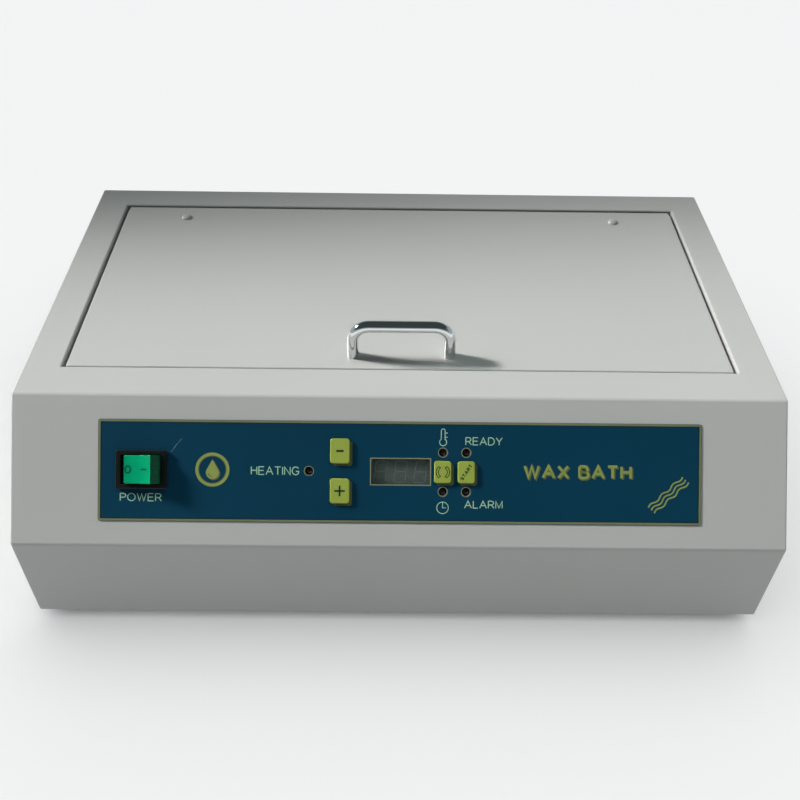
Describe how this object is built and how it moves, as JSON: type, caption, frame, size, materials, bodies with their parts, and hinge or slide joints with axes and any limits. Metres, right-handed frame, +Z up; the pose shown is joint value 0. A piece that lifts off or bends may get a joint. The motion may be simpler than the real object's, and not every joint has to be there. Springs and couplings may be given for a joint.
{
  "type": "paraffin wax bath",
  "caption": "Table-top paraffin wax bath: folded steel casing, sloping panel with rocker switch and keys, hinged flush lid with handle over a heated tank.",
  "frame": {"origin": "on the table, under the middle of the casing", "axes": "+X to the right, along the length; +Y to the back; +Z up. The control panel faces -Y."},
  "size_m": [0.49, 0.3222, 0.1734],
  "materials": {
    "painted_steel": "satin powder coat",
    "zinc_plated_steel": "zinc plated",
    "stainless_steel": "brushed",
    "laminated_steel": "varnished",
    "chrome": "polished",
    "nickel_brass": "nickel plated",
    "black_plastic": "satin",
    "green_lens": "glossy",
    "label_blue": "satin film",
    "key_lime": "satin",
    "smoked_window": "glossy",
    "lamp_lens": "glossy",
    "circuit_board": "solder mask",
    "black_rubber": "matte",
    "silicone": "matte",
    "mineral_wool": "fibrous"
  },
  "bodies": {
    "bath": {"casing": "painted_steel", "rear_panel": "painted_steel", "base_plate": "zinc_plated_steel", "board_bracket": "zinc_plated_steel", "tank_rail_left": "zinc_plated_steel", "tank_rail_right": "zinc_plated_steel", "hinge_base_left": "zinc_plated_steel", "hinge_base_right": "zinc_plated_steel", "tank": "stainless_steel", "tank_grille": "stainless_steel", "temperature_probe": "stainless_steel", "hinge_pin_left": "stainless_steel", "hinge_pin_right": "stainless_steel", "rocker_pin": "stainless_steel", "foot_screw_front_left": "stainless_steel", "foot_screw_front_right": "stainless_steel", "foot_screw_rear_left": "stainless_steel", "foot_screw_rear_right": "stainless_steel", "inlet_pin_live": "nickel_brass", "inlet_pin_neutral": "nickel_brass", "inlet_pin_earth": "nickel_brass", "switch_housing": "black_plastic", "mains_inlet": "black_plastic", "fuse_drawer": "black_plastic", "display_module": "black_plastic", "thermal_cutout": "black_plastic", "label_overlay": "label_blue", "display_window": "smoked_window", "led_heating": "lamp_lens", "led_temperature": "lamp_lens", "led_ready": "lamp_lens", "led_timer": "lamp_lens", "led_alarm": "lamp_lens", "control_board": "circuit_board", "power_board": "circuit_board", "transformer": "laminated_steel", "foot_front_left": "black_rubber", "foot_front_right": "black_rubber", "foot_rear_left": "black_rubber", "foot_rear_right": "black_rubber", "mains_wire": "black_rubber", "heating_mat": "silicone", "heater_lead": "silicone", "tank_jacket": "mineral_wool"},
    "lid": {"lid_panel": "painted_steel", "lid_liner": "stainless_steel", "lid_seal": "silicone", "lid_handle": "chrome", "handle_screw_left": "stainless_steel", "handle_screw_right": "stainless_steel", "hinge_leaf_left": "zinc_plated_steel", "hinge_leaf_right": "zinc_plated_steel", "lid_rivet_left": "painted_steel", "lid_rivet_right": "painted_steel"},
    "rocker": {"power_rocker": "green_lens"},
    "minus_button": {"key_minus": "key_lime"},
    "plus_button": {"key_plus": "key_lime"},
    "select_button": {"key_select": "key_lime"},
    "start_button": {"key_start": "key_lime"}
  },
  "joints": [
    {"name": "lid_hinge", "type": "hinge", "parent": "bath", "child": "lid", "pos_m": [0, 0.13009, 0.14117], "axis": [-1, 0, 0], "range_deg": [0, 100]},
    {"name": "rocker_pivot", "type": "hinge", "parent": "bath", "child": "rocker", "pos_m": [-0.1625, -0.12792, 0.11394], "axis": [0, 0.7071, 0.7071], "range_deg": [0, 24]},
    {"name": "minus_press", "type": "slide", "parent": "bath", "child": "minus_button", "axis": [0, 0.7071, -0.7071], "range_m": [0, 0.001], "stiffness_N_per_m": 600, "springref_m": -0.001},
    {"name": "plus_press", "type": "slide", "parent": "bath", "child": "plus_button", "axis": [0, 0.7071, -0.7071], "range_m": [0, 0.001], "stiffness_N_per_m": 600, "springref_m": -0.001},
    {"name": "select_press", "type": "slide", "parent": "bath", "child": "select_button", "axis": [0, 0.7071, -0.7071], "range_m": [0, 0.001], "stiffness_N_per_m": 600, "springref_m": -0.001},
    {"name": "start_press", "type": "slide", "parent": "bath", "child": "start_button", "axis": [0, 0.7071, -0.7071], "range_m": [0, 0.001], "stiffness_N_per_m": 600, "springref_m": -0.001}
  ]
}
